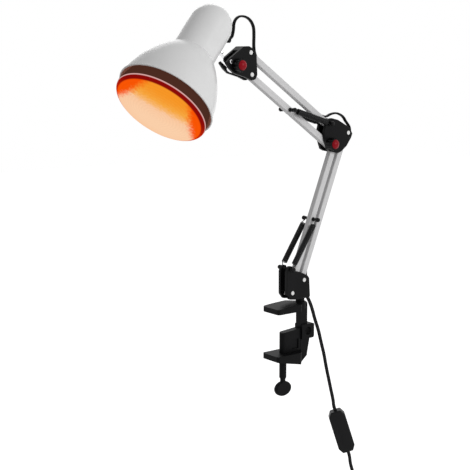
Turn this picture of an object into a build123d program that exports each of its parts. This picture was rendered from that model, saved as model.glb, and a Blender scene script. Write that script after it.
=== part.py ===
"""Infrared heat lamp on a clamped, spring-balanced swing arm.

Millimetres. The origin is on the axis of the swivel pin, at the height of the clamp's upper
clamping face. +Z is up, the arm lies in the XZ plane and the jaws point toward -X.
"""

import os
from math import cos, radians, sin, tan

from build123d import *

os.makedirs("parts", exist_ok=True)

# Fits and clearances
running_fit = 0.05  # radial, between a pin and its hole
side_gap = 0.3  # between a tube and the cheek beside it
free_gap = 0.3  # between other parts that move past each other

# Square tubes of the arm
tube_side = 9.0
tube_wall = 0.8
tube_round = 1.2
tube_end = 5.0  # tube past its last pivot
lower_length = 221.7
lower_lean = 21.64  # degrees from vertical, toward +X
upper_length = 173.6
upper_rise = 34.77  # degrees above horizontal, toward -X

# Pivots, in the arm's plane
base_front = Vector(-21.6, 0, 25.9)
base_rear = Vector(0, 0, 42.6)
elbow_bottom_offset = Vector(-13.6, 0, 2.3)  # from the elbow's front lower pivot
elbow_top_offset = Vector(-15.6, 0, 31.4)
rivet_radius = 2.0
rivet_head_radius = 3.1
rivet_head_rise = 1.2
recess_depth = 1.4
recess_radius = 3.8
bolt_radius = 2.5

# Brackets
cheek = 4.7  # thickness of each cheek
edge_round = 0.8

# Springs and the pins that carry them
spring_radius = 4.3
spring_wire = 1.2
spring_offset = 11.0  # spring's centre line from the arm's plane
hook_length = 8.5  # pin's centre to the first full turn
waist_radius = 1.6
flange_radius = 2.9
tube_flange = 1.6  # thickness beside a tube
cheek_flange = 0.6  # thickness beside a cheek
ball_radius = 3.25
ball_offset = 15.0
base_stud = Vector(-26.0, 0, 61.0)
lower_pin_from_base = 109.8  # along the front tube
upper_pin_from_elbow = 88.2  # along the bottom tube

# Friction knobs
knob_radius = 9.0
knob_height = 10.0
cap_radius = 6.6
cap_side = 2.0
cap_rise = 3.2
cap_seat = 1.5  # depth of the grip's recess
nut_across = 9.0
nut_height = 4.0

# Clamp
jaw_tip = -55.2
jaw_width = 36.0
jaw_root = -12.5  # where the jaw's shoulders start to narrow
jaw_tip_height = 7.5
jaw_root_height = 10.2
post_front = -3.0
post_back = 9.2
post_foot_back = 13.9
post_width = 11.0
plate_top = -60.5
plate_tip_bottom = -68.5
frame_bottom = -78.5
lug_back = 20.5
lug_width = 16.0
lug_top = -23.0
lug_bottom = -44.5
lug_bore_radius = 5.75
lug_bore = Vector(9.0, 0, -33.3)
socket_radius = 5.35
socket_boss_radius = 8.5
socket_floor = 1.5
collar_radius = 6.1
collar_bottom = jaw_root_height + free_gap
collar_top = 16.0

# Clamp screw and pressure block
screw_x = -31.65
screw_radius = 5.2
screw_tip_radius = 3.0
screw_tip_length = 12.0
screw_shoulder = -97.0
neck_radius_screw = 3.8
paddle_width = 28.5
paddle_height = 21.7
paddle_thickness = 8.0
paddle_centre = -113.7
block_width = 10.5
block_top_front = -31.0
block_top_back = -28.0

# Head
lamp_pitch = 47.5  # degrees below horizontal
lamp_turn = 8.9  # degrees toward -Y
head_bolt_offset = Vector(-24.954, 0, 12.524)  # from the head's lower pivot
neck_offset = Vector(-50.5, 0, 33.6)  # from the friction bolt to the lamp's axis, at the stem
head_tip_offset = Vector(-11.4, 0, 4.8)  # from the friction bolt
tip_screw_radius = 1.5
tip_screw_head = 2.6
tip_screw_rise = 2.0
stem_direction = Vector(0.785, 0, -0.619).normalized()
stem_from_centre = 1.5  # along the lamp's axis
stem_radius = 2.5
stem_inner_end = 23.5  # from the lamp's axis
stem_outer_end = 64.0
stem_eye_radius = 10.5
knuckle_radius = 6.0
knuckle_end = 38.0

# Lamp: distances along its axis from neck_centre, and radii
neck_radius = 28.9
neck_wall = 0.9
dome_top = -52.0
dome_depth = 31.9
neck_mouth = 27.9
bell_wall = 0.8
bell_mid = (54.5, 48.0)
bell_rim_end = 104.0
bell_flare_end = 80.0
bulb_room = 1.7  # between the bulb's widest ring and the bell's rim, radially
flare_inset = 5.4  # from the rim's radius to the flare's
rim_bead = 1.3
bulb_radius = 62.5
bulb_ring = 116.5
bulb_face = 133.0
bulb_glass = 1.1
cap_end = -41.0
cap_mouth = -17.0
cap_radius_bulb = 13.2
holder_radius = 20.0
holder_bore = 13.6

# Mains lead
cord_width = 5.5
cord_thickness = 2.8
free_cord_radius = 2.2
cord_slot_centre = 14.8  # from a pivot, along the tube
cord_slot_length = 12.4
cord_slot_gap = 0.3
cord_inside = 34.0  # where a loop meets the stretch inside a tube
grommet_radius = 4.6
grommet_reach = 43.6  # from neck_centre to its outer face
cord_exit = Vector(14.0, 0, 14.0)
cord_heading = 37.77  # the free stretch's plane, degrees from +X toward -Y
switch_length = 64.5
switch_width = 24.5
switch_thickness = 17.0
switch_tilt = 17.7  # degrees from vertical
switch_top = (42.4, -155.7)  # in the free stretch's plane, from the cord's exit
rocker_length = 15.0
rocker_width = 9.0
coil_radius = 30.0
coil_section = 6.6
coil_top = (77.3, -282.0)
coil_tie_width = 6.0
plug_length = 37.0
plug_width = 26.0
plug_neck_width = 12.0
plug_thickness = 13.7
plug_pin_radius = 2.0
plug_pin_length = 19.0
plug_pin_spacing = 18.6

# Worked out from the values above
half_slot = tube_side / 2 + side_gap
half_bracket = half_slot + cheek
lower_axis = Vector(sin(radians(lower_lean)), 0, cos(radians(lower_lean)))
upper_axis = Vector(-cos(radians(upper_rise)), 0, sin(radians(upper_rise)))
elbow_front = base_front + lower_axis * lower_length
elbow_rear = base_rear + lower_axis * lower_length
elbow_bottom = elbow_front + elbow_bottom_offset
elbow_top = elbow_front + elbow_top_offset
head_bottom = elbow_bottom + upper_axis * upper_length
head_top = elbow_top + upper_axis * upper_length
head_bolt = head_bottom + head_bolt_offset
head_tip = head_bolt + head_tip_offset
neck_centre = head_bolt + neck_offset
lower_pin = base_front + lower_axis * lower_pin_from_base
upper_pin = elbow_bottom + upper_axis * upper_pin_from_elbow
tube_corner = (tube_end**2 + (tube_side / 2) ** 2) ** 0.5
lamp_axis = Vector(
    -cos(radians(lamp_pitch)) * cos(radians(lamp_turn)),
    -sin(radians(lamp_turn)),
    -sin(radians(lamp_pitch)) * cos(radians(lamp_turn)),
)
stem_root = neck_centre + lamp_axis * stem_from_centre
bell_rim = (bell_rim_end, bulb_radius + bulb_room)
bell_flare = (bell_flare_end, bell_rim[1] - flare_inset)
heading = Vector(cos(radians(cord_heading)), -sin(radians(cord_heading)), 0)
Y_AXIS = Vector(0, 1, 0)


def save(part, name):
    """Label a finished piece and write it."""
    part.label = name
    export_step(part, f"parts/{name}.step")


def arm_plane(point=Vector(0, 0, 0), y=0.0):
    """Plane parallel to the arm's, with X and Z as its axes and its normal toward -Y."""
    return Plane(origin=(point.X, y, point.Z), x_dir=(1, 0, 0), z_dir=(0, -1, 0))


def beam_plane(start, end):
    """Plane across a beam at its start: its X is the row's Y, its Z runs along the beam."""
    return Plane(origin=start, x_dir=(0, 1, 0), z_dir=end - start)


def cross_hole(point, radius, half_length):
    """Cut a hole along Y through the part being built."""
    with BuildSketch(arm_plane(point)) as hole:
        Circle(radius)
    extrude(hole.sketch, amount=half_length, both=True, mode=Mode.SUBTRACT)


def outline(points, radius):
    """Closed polygon in the current sketch with one corner radius."""
    with BuildLine() as edge:
        Polyline(*points, close=True)
    make_face(edge.edges())
    fillet(vertices(), radius)


# Square tubes --------------------------------------------------------------------------


def tube(name, holes, slotted=False):
    """Square tube from its first hole to its last, with a slot near each end for the lead."""
    start, end = holes[0][0], holes[-1][0]
    bore = tube_side - 2 * tube_wall
    plane = beam_plane(start, end)
    length = (end - start).length
    with BuildPart() as part:
        with BuildSketch(plane.offset(-tube_end)):
            RectangleRounded(tube_side, tube_side, tube_round)
            RectangleRounded(bore, bore, tube_round - tube_wall, mode=Mode.SUBTRACT)
        extrude(amount=length + 2 * tube_end)
        for point, radius in holes:
            cross_hole(point, radius, tube_side)
        if slotted:
            slot_face = Plane(origin=start, x_dir=plane.z_dir, z_dir=-plane.y_dir)
            for along in (cord_slot_centre, length - cord_slot_centre):
                with BuildSketch(slot_face):
                    with Locations((along, 0)):
                        RectangleRounded(
                            cord_slot_length, cord_width + 2 * cord_slot_gap, 0.8
                        )
                extrude(amount=tube_side, mode=Mode.SUBTRACT)
    save(part.part, name)


rivet_hole = rivet_radius + running_fit
bolt_hole = bolt_radius + running_fit
tube(
    "lower_front_tube",
    [(base_front, rivet_hole), (lower_pin, rivet_radius), (elbow_front, rivet_hole)],
)
tube("lower_rear_tube", [(base_rear, rivet_hole), (elbow_rear, rivet_hole)], slotted=True)
tube(
    "upper_bottom_tube",
    [(elbow_bottom, bolt_hole), (upper_pin, rivet_radius), (head_bottom, rivet_hole)],
)
tube("upper_top_tube", [(elbow_top, rivet_hole), (head_top, rivet_hole)], slotted=True)


# Rivets and spring pins ----------------------------------------------------------------


def rivets(name, points):
    """Through rivets with a low dome in the recess of each cheek."""
    half = half_bracket - recess_depth
    with BuildPart() as part:
        for point in points:
            with BuildSketch(arm_plane(point)):
                Circle(rivet_radius)
            extrude(amount=half + 0.1, both=True)
            for side in (-1, 1):
                with BuildSketch(arm_plane(point, side * half)):
                    Circle(rivet_head_radius)
                extrude(amount=-side * rivet_head_rise)
        domes = part.edges().filter_by(GeomType.CIRCLE)
        rims = [
            edge
            for edge in domes
            if abs(abs(edge.center().Y) - half - rivet_head_rise) < 0.01
        ]
        fillet(rims, rivet_head_rise * 0.8)
    save(part.part, name)


rivets("base_rivets", (base_front, base_rear))
rivets("elbow_rivets", (elbow_front, elbow_rear))
rivets("head_rivets", (head_bottom, head_top))


def pin_profile(inner, shoulder, flange):
    """Half section of one end of a spring pin: shaft, flange, waist for the hook, ball."""
    ball_start = ball_offset - (ball_radius**2 - waist_radius**2) ** 0.5
    with BuildLine() as edge:
        Polyline(
            (0, inner),
            (rivet_radius, inner),
            (rivet_radius, shoulder),
            (flange_radius, shoulder),
            (flange_radius, shoulder + flange),
            (waist_radius, shoulder + flange),
            (waist_radius, ball_start),
        )
        ThreePointArc(
            (waist_radius, ball_start),
            (ball_radius, ball_offset),
            (0, ball_offset + ball_radius),
        )
        Line((0, ball_offset + ball_radius), (0, inner))
    make_face(edge.edges())


def spring_pin(name, point, inner, shoulder, flange):
    """Pin with a ball at each end, in one length or, with inner above 0, as two studs."""
    with BuildPart() as part:
        for side in (-1, 1):
            with BuildSketch(Plane(origin=point, x_dir=(1, 0, 0), z_dir=(0, 0, -side))):
                pin_profile(inner, shoulder, flange)
            revolve(axis=Axis(point, Y_AXIS))
    save(part.part, name)


spring_pin("lower_spring_pin", lower_pin, 0, tube_side / 2, tube_flange)
spring_pin("upper_spring_pin", upper_pin, 0, tube_side / 2, tube_flange)
spring_pin("base_spring_studs", base_stud, half_slot, half_bracket, cheek_flange)
spring_pin("elbow_spring_pin", elbow_top, 0, half_bracket, cheek_flange)


def spring(name, start, end, side):
    """Extension spring: close-wound barrel, a bar across each end and a loop on each pin."""
    offset = Vector(0, side * spring_offset, 0)
    start, end = start + offset, end + offset
    along = (end - start).normalized()
    loop_radius = waist_radius + spring_wire / 2 + 0.15
    with BuildPart() as part:
        with BuildSketch(beam_plane(start + along * hook_length, end)):
            Circle(spring_radius)
            Circle(spring_radius - spring_wire, mode=Mode.SUBTRACT)
        extrude(amount=(end - start).length - 2 * hook_length)
        for centre, inward in ((start, along), (end, -along)):
            with BuildSketch(beam_plane(centre + inward * hook_length, centre + inward * 50)):
                SlotOverall(2 * spring_radius - spring_wire / 2, spring_wire, rotation=90)
            extrude(amount=spring_wire)
            with BuildSketch(beam_plane(centre + inward * loop_radius, centre + inward * 50)):
                Circle(spring_wire / 2)
            extrude(amount=hook_length - loop_radius + spring_wire / 2)
            with Locations(Plane(origin=centre, x_dir=along, z_dir=Y_AXIS)):
                Torus(loop_radius, spring_wire / 2)
    save(part.part, name)


for side, word in ((-1, "near"), (1, "far")):
    spring(f"lower_spring_{word}", base_stud, lower_pin, side)
    spring(f"upper_spring_{word}", upper_pin, elbow_top, side)


# Brackets ------------------------------------------------------------------------------


def bracket(edge, corner, web, pivots, holes=()):
    """Two cheeks of one outline joined by a web, with a recess round each rivet head."""
    with BuildPart() as part:
        with BuildSketch(arm_plane()):
            outline(edge, corner)
        extrude(amount=half_bracket, both=True)
        fillet(
            part.edges().group_by(Axis.Y)[0] + part.edges().group_by(Axis.Y)[-1],
            edge_round,
        )
        with BuildSketch(arm_plane()):
            Rectangle(2000, 2000)
            with BuildLine():
                Polyline(*web, close=True)
            make_face(mode=Mode.SUBTRACT)
        extrude(amount=half_slot, both=True, mode=Mode.SUBTRACT)
        for point in pivots:
            cross_hole(point, rivet_radius, half_bracket + 1)
            for side in (-1, 1):
                with BuildSketch(arm_plane(point, side * half_bracket)):
                    Circle(recess_radius)
                extrude(amount=side * recess_depth, mode=Mode.SUBTRACT)
        for point, radius in holes:
            cross_hole(point, radius, half_bracket + 1)
    return part.part


def at(point, dx, dz):
    """Point beside a pivot, as an outline's corner."""
    return (point.X + dx, point.Z + dz)


# The hub's front face follows the front tube at its most upright clearance line.
hub_clear = tube_corner + 0.5
hub_bore_radius = 4.0
hub_bore_depth = 14.0
hub_low = collar_top
hub_high = base_rear.Z - hub_clear
hub_back = 5.2
hub_slope = tan(radians(lower_lean + 10))
hub_front_foot = base_front.X + hub_clear * 1.18 + (hub_low - base_front.Z) * hub_slope
hub_front_head = hub_front_foot + (hub_high - hub_low) * hub_slope

base_edge = [
    at(base_front, -11.4, -1.5),
    at(base_front, -5.5, -8.6),
    at(base_front, 8.0, -10.4),
    at(base_rear, 11.0, -26.2),
    at(base_rear, 9.0, 2.2),
    at(base_rear, 5.6, 6.2),
    at(base_rear, -7.1, 12.0),
    at(base_stud, 4.6, -2.0),
    at(base_stud, 3.2, 4.2),
    at(base_stud, -3.6, 4.2),
    at(base_stud, -7.2, -3.4),
]
base_bracket = bracket(
    base_edge,
    2.4,
    [
        (hub_front_foot, hub_low),
        (hub_back, hub_low),
        (hub_back, hub_high),
        (hub_front_head, hub_high),
    ],
    (base_front, base_rear),
    [(base_stud, rivet_radius)],
)
with BuildPart() as base_bracket_bored:
    add(base_bracket)
    with BuildSketch(Plane.XY.offset(hub_low)):
        Circle(collar_radius + free_gap)
    extrude(amount=-20, mode=Mode.SUBTRACT)
    with BuildSketch(Plane.XY.offset(hub_low)):
        Circle(hub_bore_radius)
    extrude(amount=hub_bore_depth, mode=Mode.SUBTRACT)
save(base_bracket_bored.part, "base_bracket")

elbow_edge = [
    at(elbow_top, -10.4, -13.1),
    at(elbow_top, -5.0, 6.0),
    at(elbow_top, 4.5, 7.4),
    at(elbow_top, 16.5, 4.5),
    at(elbow_rear, -7.1, 12.2),
    at(elbow_rear, 1.9, 7.6),
    at(elbow_rear, 7.6, -1.3),
    at(elbow_rear, 5.2, -7.0),
    at(elbow_rear, -3.5, -18.8),
    at(elbow_front, 7.5, -9.6),
    at(elbow_front, 1.6, -11.5),
    at(elbow_bottom, 0.6, -10.6),
    at(elbow_bottom, -5.2, -7.7),
    at(elbow_bottom, -10.3, 6.0),
]
elbow_web_gap = 2.5  # from a tube's end corner to the web
elbow_web_left = elbow_top.X + tube_corner + elbow_web_gap
elbow_web_right = elbow_rear.X - tube_corner - elbow_web_gap
elbow_web_low = elbow_front.Z + tube_corner + 10.0
elbow_web_high = elbow_web_low + 40  # past the cheeks' upper edge
elbow_bracket = bracket(
    elbow_edge,
    1.8,
    [
        (elbow_web_left, elbow_web_low),
        (elbow_web_right, elbow_web_low),
        (elbow_web_right, elbow_web_high),
        (elbow_web_left, elbow_web_high),
    ],
    (elbow_front, elbow_rear),
    [(elbow_bottom, bolt_radius), (elbow_top, rivet_radius)],
)
save(elbow_bracket, "elbow_bracket")

head_edge = [
    at(head_bolt, -18.8, 3.0),
    at(head_bolt, -11.5, 9.4),
    at(head_top, -11.8, 8.1),
    at(head_top, -3.6, 8.4),
    at(head_top, 4.0, 5.0),
    at(head_top, 9.2, -4.0),
    at(head_bottom, 8.6, -0.4),
    at(head_bottom, 5.4, -6.4),
    at(head_bottom, -1.0, -7.8),
    at(head_bottom, -12.0, -3.2),
    at(head_bolt, -5.0, -10.8),
    at(head_bolt, -12.5, -4.8),
]
head_web_left = head_bolt.X + stem_eye_radius + 0.7
head_web_right = head_top.X - tube_corner - 0.6
head_web_low = head_bottom.Z + 1.0
head_web_high = head_top.Z + 30  # past the cheeks' upper edge
head_web_step = 7.0  # how far the web reaches in over the stem's eye
head_bracket = bracket(
    head_edge,
    1.6,
    [
        (head_web_left, head_web_low),
        (head_web_right, head_web_low),
        (head_web_right, head_web_high),
        (head_web_left - head_web_step, head_web_high),
        (head_web_left - head_web_step, head_bolt.Z + stem_eye_radius + 4.5),
        (head_web_left, head_bolt.Z + stem_eye_radius + 0.5),
    ],
    (head_bottom, head_top),
    [(head_bolt, bolt_radius), (head_tip, tip_screw_radius)],
)
save(head_bracket, "head_bracket")

with BuildPart() as tip_screws:
    for side in (-1, 1):
        with BuildSketch(arm_plane(head_tip, side * (half_slot + 0.2))):
            Circle(tip_screw_radius)
        extrude(amount=-side * (cheek - 0.2))
        with BuildSketch(arm_plane(head_tip, side * half_bracket)):
            Circle(tip_screw_head)
        extrude(amount=-side * tip_screw_rise)
    chamfer(tip_screws.edges().group_by(Axis.Y)[0] + tip_screws.edges().group_by(Axis.Y)[-1], 0.4)
save(tip_screws.part, "head_tip_screws")


# Friction bolts and knobs --------------------------------------------------------------


def friction_bolt(name, point):
    """Bolt along Y: hexagon head on the far cheek, shank through to the knob."""
    with BuildPart() as part:
        with BuildSketch(arm_plane(point, half_bracket)):
            RegularPolygon(nut_across / 2, 6, major_radius=False)
        extrude(amount=-nut_height)
        with BuildSketch(arm_plane(point, half_bracket)):
            Circle(bolt_radius)
        extrude(amount=2 * half_bracket + knob_height - 2.5)
        chamfer(part.edges().group_by(Axis.Y)[-1], 0.6)
    save(part.part, name)


def friction_knob(name, point):
    """Scalloped grip turned on the bolt, hollowed at its outer end for the cap."""
    scallops = 12
    with BuildPart() as part:
        with BuildSketch(arm_plane(point, -half_bracket - free_gap)):
            Circle(knob_radius)
            with PolarLocations(knob_radius + 0.9, scallops):
                Circle(1.7, mode=Mode.SUBTRACT)
        extrude(amount=knob_height)
        with BuildSketch(arm_plane(point, -half_bracket - free_gap)):
            Circle(bolt_radius + running_fit)
        extrude(amount=knob_height, mode=Mode.SUBTRACT)
        with BuildSketch(arm_plane(point, -half_bracket - free_gap - knob_height + cap_seat)):
            Circle(cap_radius + 0.05)
        extrude(amount=knob_height, mode=Mode.SUBTRACT)
    save(part.part, name)


def knob_cap(name, point):
    """Domed cap pressed into the grip."""
    seat = -half_bracket - free_gap - knob_height + cap_seat
    with BuildPart() as part:
        with BuildSketch(Plane(origin=(point.X, seat, point.Z), x_dir=(1, 0, 0), z_dir=(0, 0, 1))):
            with BuildLine():
                Line((0, 0), (cap_radius, 0))
                Line((cap_radius, 0), (cap_radius, -cap_side))
                RadiusArc(
                    (cap_radius, -cap_side),
                    (0, -cap_side - cap_rise),
                    (cap_radius**2 + cap_rise**2) / (2 * cap_rise),
                )
                Line((0, -cap_side - cap_rise), (0, 0))
            make_face()
        revolve(axis=Axis((point.X, seat, point.Z), (0, 1, 0)))
    save(part.part, name)


for word, point in (("elbow", elbow_bottom), ("head", head_bolt)):
    friction_bolt(f"{word}_friction_bolt", point)
    friction_knob(f"{word}_knob", point)
    knob_cap(f"{word}_knob_cap", point)


# Clamp ---------------------------------------------------------------------------------


def jaw_plan():
    """Plan of a jaw: full width from tip to shoulders, then narrowing to the post."""
    with BuildLine() as edge:
        Polyline(
            (jaw_tip, -jaw_width / 2),
            (jaw_root, -jaw_width / 2),
            (post_front + 2.0, -post_width / 2),
            (post_front + 2.0, post_width / 2),
            (jaw_root, jaw_width / 2),
            (jaw_tip, jaw_width / 2),
            close=True,
        )
    make_face(edge.edges())
    fillet(vertices().group_by(Axis.X)[0], 4.0)
    fillet(vertices().group_by(Axis.X)[-2], 3.0)


def clamp_frame():
    """C-shaped moulding: top jaw, post with its rear lug, bottom plate and pin socket."""
    with BuildPart() as jaws:
        with BuildSketch(Plane.XY.offset(frame_bottom)):
            jaw_plan()
        extrude(amount=jaw_root_height - frame_bottom)
        with BuildSketch(arm_plane()):
            with BuildLine():
                Line((jaw_tip, 0), (post_front + 2, 0))
                Line((post_front + 2, 0), (post_front + 2, jaw_root_height))
                ThreePointArc(
                    (post_front + 2, jaw_root_height),
                    ((jaw_tip + post_front) / 2, jaw_root_height - 0.7),
                    (jaw_tip, jaw_tip_height),
                )
                Line((jaw_tip, jaw_tip_height), (jaw_tip, 0))
            make_face()
            with BuildLine():
                Polyline(
                    (jaw_tip, plate_top),
                    (post_front + 2, plate_top),
                    (post_front + 2, frame_bottom),
                    (post_front - 6, frame_bottom),
                    (jaw_tip, plate_tip_bottom),
                    close=True,
                )
            make_face()
        extrude(amount=jaw_width, both=True, mode=Mode.INTERSECT)
    with BuildPart() as frame:
        with BuildSketch(arm_plane()):
            with BuildLine():
                Polyline(
                    (post_front, jaw_root_height),
                    (post_back, jaw_root_height),
                    (post_back, lug_bottom),
                    (post_foot_back, lug_bottom - 1.0),
                    (post_back + 1.1, -63.0),
                    (post_back - 0.1, -70.0),
                    (-1.0, frame_bottom),
                    (post_front, frame_bottom),
                    close=True,
                )
            make_face()
            fillet(vertices().group_by(Axis.Y)[-1].sort_by(Axis.X)[-1:], 4.0)
        extrude(amount=post_width / 2, both=True)
        with BuildSketch(arm_plane()):
            with BuildLine():
                Polyline(
                    (post_front + 0.4, lug_top),
                    (lug_back, lug_top),
                    (lug_back, lug_bottom),
                    (post_front + 0.4, lug_bottom),
                    close=True,
                )
            make_face()
            fillet(vertices().group_by(Axis.X)[-1], 3.0)
        extrude(amount=lug_width / 2, both=True)
        add(jaws.part)
        with BuildSketch(Plane.XY.offset(0.0)):
            Circle(socket_boss_radius)
        extrude(amount=jaw_root_height)
        with BuildSketch(Plane.XY.offset(socket_floor)):
            Circle(socket_radius)
        extrude(amount=jaw_root_height, mode=Mode.SUBTRACT)
        cross_hole(lug_bore, lug_bore_radius, lug_width)
        with BuildSketch(Plane.XY.offset(frame_bottom)):
            with Locations((screw_x, 0)):
                Circle(screw_radius + 2 * running_fit)
        extrude(amount=plate_top - frame_bottom + 1, mode=Mode.SUBTRACT)
    save(frame.part, "clamp_frame")


clamp_frame()


def pressure_block():
    """Sliding block: half-round nose over the screw, ribs and a pocket on each flank."""
    nose = block_width / 2
    back = post_front - free_gap
    with BuildPart() as part:
        with BuildSketch(Plane.XY.offset(plate_top + 0.05)):
            with Locations((screw_x, 0)):
                Circle(nose)
            with Locations(((screw_x + back) / 2, 0)):
                Rectangle(back - screw_x, block_width)
        extrude(amount=block_top_back - plate_top)
        with BuildSketch(arm_plane()):
            with BuildLine():
                Polyline(
                    (screw_x - nose - 1, block_top_front),
                    (back + 1, block_top_back),
                    (back + 1, block_top_back + 20),
                    (screw_x - nose - 1, block_top_back + 20),
                    close=True,
                )
            make_face()
        extrude(amount=nose + 1, both=True, mode=Mode.SUBTRACT)
        for side in (-1, 1):
            with BuildSketch(arm_plane(Vector(0, 0, 0), side * nose)):
                with Locations(((screw_x + back) / 2 + 4.5, plate_top + 11.0)):
                    Rectangle(12.0, 14.0)
            extrude(amount=side * 1.8, mode=Mode.SUBTRACT)
        with BuildSketch(Plane.XY.offset(plate_top)):
            with Locations((screw_x, 0)):
                Circle(screw_tip_radius + 2 * running_fit)
        extrude(amount=screw_tip_length + free_gap, mode=Mode.SUBTRACT)
    save(part.part, "pressure_block")


pressure_block()


def clamp_screw():
    """Screw with a reduced tip in the block and an oval paddle to turn it by."""
    with BuildPart() as part:
        with BuildSketch(Plane(origin=(screw_x, 0, 0), x_dir=(1, 0, 0), z_dir=(0, -1, 0))):
            with BuildLine():
                Polyline(
                    (0, plate_top + screw_tip_length),
                    (screw_tip_radius, plate_top + screw_tip_length),
                    (screw_tip_radius, plate_top - 0.3),
                    (screw_radius, plate_top - 1.2),
                    (screw_radius, screw_shoulder),
                    (neck_radius_screw, screw_shoulder - 2.5),
                    (neck_radius_screw, paddle_centre),
                    (0, paddle_centre),
                    close=True,
                )
            make_face()
        revolve(axis=Axis((screw_x, 0, 0), (0, 0, 1)))
        with BuildSketch(arm_plane(Vector(screw_x, 0, paddle_centre))):
            Ellipse(paddle_width / 2, paddle_height / 2)
        extrude(amount=paddle_thickness / 2, both=True)
        faces_y = part.faces().filter_by(Axis.Y)
        fillet(
            faces_y.group_by(Axis.Y)[0].edges() + faces_y.group_by(Axis.Y)[-1].edges(),
            paddle_thickness * 0.35,
        )
    save(part.part, "clamp_screw")


clamp_screw()

with BuildPart() as swivel_pin:
    with BuildSketch(Plane.XZ):
        with BuildLine():
            Polyline(
                (0, socket_floor + free_gap),
                (socket_radius - running_fit - 0.8, socket_floor + free_gap),
                (socket_radius - running_fit, socket_floor + free_gap + 0.8),
                (socket_radius - running_fit, collar_bottom),
                (collar_radius, collar_bottom),
                (collar_radius, collar_top),
                (4.0, collar_top),
                (4.0, collar_top + 13.5),
                (0, collar_top + 13.5),
                close=True,
            )
        make_face()
    revolve(axis=Axis.Z)
save(swivel_pin.part, "swivel_pin")


# Head ----------------------------------------------------------------------------------


def head_stem():
    """Chromed rod from the lamp's neck, ending in an eye clamped between the head's cheeks."""
    start = stem_root + stem_direction * stem_inner_end
    with BuildPart() as part:
        with BuildSketch(Plane(origin=start, x_dir=(0, 1, 0), z_dir=stem_direction)):
            Circle(stem_radius)
        extrude(amount=stem_outer_end - stem_inner_end)
        with BuildSketch(Plane(origin=start, x_dir=(0, 1, 0), z_dir=stem_direction)):
            Circle(stem_radius + 1.4)
        extrude(amount=1.5)
        with BuildSketch(arm_plane(head_bolt)):
            Circle(stem_eye_radius)
        extrude(amount=tube_side / 2, both=True)
        cross_hole(head_bolt, bolt_hole, tube_side)
    save(part.part, "head_stem")


head_stem()


def lamp_section():
    """Plane through the lamp's axis: X along the axis, Y radial, toward the stem."""
    radial = (stem_direction - lamp_axis * stem_direction.dot(lamp_axis)).normalized()
    return Plane(origin=neck_centre, x_dir=lamp_axis, z_dir=lamp_axis.cross(radial))


lamp_plane = lamp_section()
lamp_line = Axis(neck_centre, lamp_axis)


def dome_region(inset):
    """Half section of the neck cover's inside or outside, down to the axis."""
    centre = dome_top + dome_depth
    with BuildLine() as edge:
        EllipticalCenterArc(
            (centre, 0), dome_depth - inset, neck_radius - inset, start_angle=90, arc_size=90
        )
        Line((dome_top + inset, 0), (neck_mouth + inset, 0))
        Line((neck_mouth + inset, 0), (neck_mouth + inset, neck_radius - inset))
        Line((neck_mouth + inset, neck_radius - inset), (centre, neck_radius - inset))
    make_face(edge.edges())


with BuildPart() as neck_cover:
    with BuildSketch(lamp_plane):
        dome_region(0)
    revolve(axis=lamp_line)
    with BuildSketch(lamp_plane):
        dome_region(neck_wall)
    revolve(axis=lamp_line, mode=Mode.SUBTRACT)
    with BuildSketch(Plane(origin=stem_root, x_dir=(0, 1, 0), z_dir=stem_direction)):
        Circle(knuckle_radius)
    extrude(amount=50, mode=Mode.SUBTRACT)
    with BuildSketch(Plane.YZ.offset(neck_centre.X)):
        with Locations((0, neck_centre.Z)):
            Circle(grommet_radius)
    extrude(amount=grommet_reach + 1, mode=Mode.SUBTRACT)
save(neck_cover.part, "neck_cover")


def bell_region(inset):
    """Half section under the bell's flare, down to the axis."""
    mid = (bell_mid[0], bell_mid[1] - inset)
    flare = (bell_flare[0], bell_flare[1] - inset)
    rim = (bell_rim[0], bell_rim[1] - inset)
    root = (neck_mouth, neck_radius - inset)
    with BuildLine() as edge:
        outer = ThreePointArc(rim, flare, mid)
        TangentArc(mid, root, tangent=outer % 1)
        Polyline(root, (neck_mouth, 0), (bell_rim[0], 0), rim)
    make_face(edge.edges())


with BuildPart() as bell:
    with BuildSketch(lamp_plane):
        bell_region(0)
    revolve(axis=lamp_line)
    with BuildSketch(lamp_plane):
        bell_region(bell_wall)
    revolve(axis=lamp_line, mode=Mode.SUBTRACT)
    with BuildSketch(lamp_plane):
        with Locations((neck_mouth + bell_wall / 2, (neck_radius + holder_radius) / 2)):
            Rectangle(bell_wall, neck_radius - holder_radius - 1.0)
        with Locations((bell_rim[0] - rim_bead / 2, bell_rim[1])):
            Circle(rim_bead)
    revolve(axis=lamp_line)
save(bell.part, "shade_bell")

with BuildPart() as knuckle:
    with BuildSketch(Plane(origin=stem_root, x_dir=(0, 1, 0), z_dir=stem_direction)):
        Circle(knuckle_radius)
        Circle(stem_radius + running_fit, mode=Mode.SUBTRACT)
    extrude(amount=knuckle_end)
    with BuildSketch(Plane(origin=stem_root, x_dir=(0, 1, 0), z_dir=stem_direction)):
        Circle(knuckle_radius + 1)
    extrude(amount=stem_inner_end + 2.0, mode=Mode.SUBTRACT)
save(knuckle.part, "shade_knuckle")

screw_axis = Vector(-stem_direction.Z, 0, stem_direction.X)
screw_seat = stem_root + stem_direction * (knuckle_end - 3.6)
with BuildPart() as locking_screw:
    with BuildSketch(Plane(origin=screw_seat + screw_axis * (knuckle_radius + 0.1), z_dir=screw_axis)):
        Circle(2.6)
    extrude(amount=2.6)
    chamfer(locking_screw.edges().sort_by(Axis(screw_seat, screw_axis))[-1], 0.5)
save(locking_screw.part, "knuckle_locking_screw")

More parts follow.
